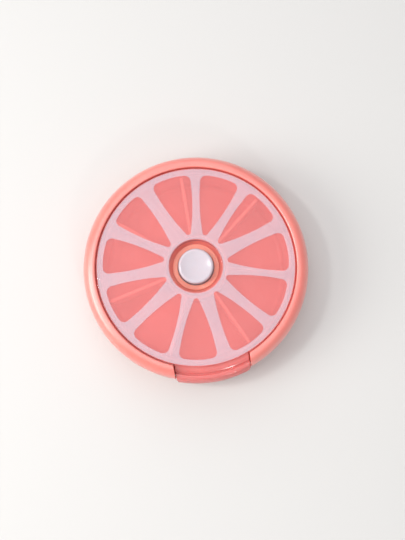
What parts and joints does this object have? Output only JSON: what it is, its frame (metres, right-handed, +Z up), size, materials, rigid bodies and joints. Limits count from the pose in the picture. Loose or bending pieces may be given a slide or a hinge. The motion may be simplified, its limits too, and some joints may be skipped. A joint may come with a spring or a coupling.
{
  "type": "rotating pill organiser",
  "caption": "Round push-to-turn pill organiser: compartments on a wheel in a pink case, clear lid with a citrus-slice print, central button and a hinged flap over the side outlet.",
  "frame": {"origin": "centre of the flat pad in the middle of the underside, on the wheel's axis", "axes": "+Z up along the wheel's axis, -Y towards the outlet and its flap, +X to the right seen from the outlet"},
  "size_m": [0.09, 0.0913, 0.0219],
  "materials": {
    "case_pink": "satin moulded",
    "lid_clear": "polished clear",
    "lid_print": "printed film",
    "wheel_tinted": "translucent tinted",
    "flap_tinted": "translucent tinted",
    "button_white": "gloss moulded",
    "acetal": "natural moulded",
    "silicone": "matte",
    "spring_steel": "drawn"
  },
  "bodies": {
    "case": {"base_shell": "case_pink", "upper_case": "case_pink", "clear_lid": "lid_clear", "lid_decal": "lid_print", "lid_seal": "silicone", "click_spring": "spring_steel", "rotor_washer": "acetal", "return_spring": "spring_steel", "flap_pin_left": "spring_steel", "flap_pin_right": "spring_steel", "case_screw_1": "spring_steel", "case_screw_2": "spring_steel", "case_screw_3": "spring_steel"},
    "wheel": {"dose_wheel": "wheel_tinted", "ratchet_ring": "acetal", "wheel_washer": "acetal"},
    "button": {"button_cap": "button_white", "drive_stem": "acetal"},
    "rotor": {"index_rotor": "acetal"},
    "flap": {"outlet_flap": "flap_tinted"}
  },
  "joints": [
    {"name": "wheel_turn", "type": "hinge", "parent": "case", "child": "wheel", "pos_m": [0, 0, 0.01], "axis": [0, 0, 1], "continuous": true},
    {"name": "button_press", "type": "slide", "parent": "case", "child": "button", "axis": [0, 0, -1], "range_m": [0, 0.003], "stiffness_N_per_m": 900, "springref_m": -0.0015, "deforming": ["return_spring"]},
    {"name": "rotor_turn", "type": "hinge", "parent": "case", "child": "rotor", "pos_m": [0, 0, 0.01], "axis": [0, 0, 1], "range_deg": [0, 51.5]},
    {"name": "flap_open", "type": "hinge", "parent": "case", "child": "flap", "pos_m": [0, -0.0408, 0.0174], "axis": [-1, 0, 0], "range_deg": [0, 90]}
  ],
  "couplings": [
    {"joint": "rotor_turn", "follows": "button_press", "rad_per_m": 299.2}
  ]
}
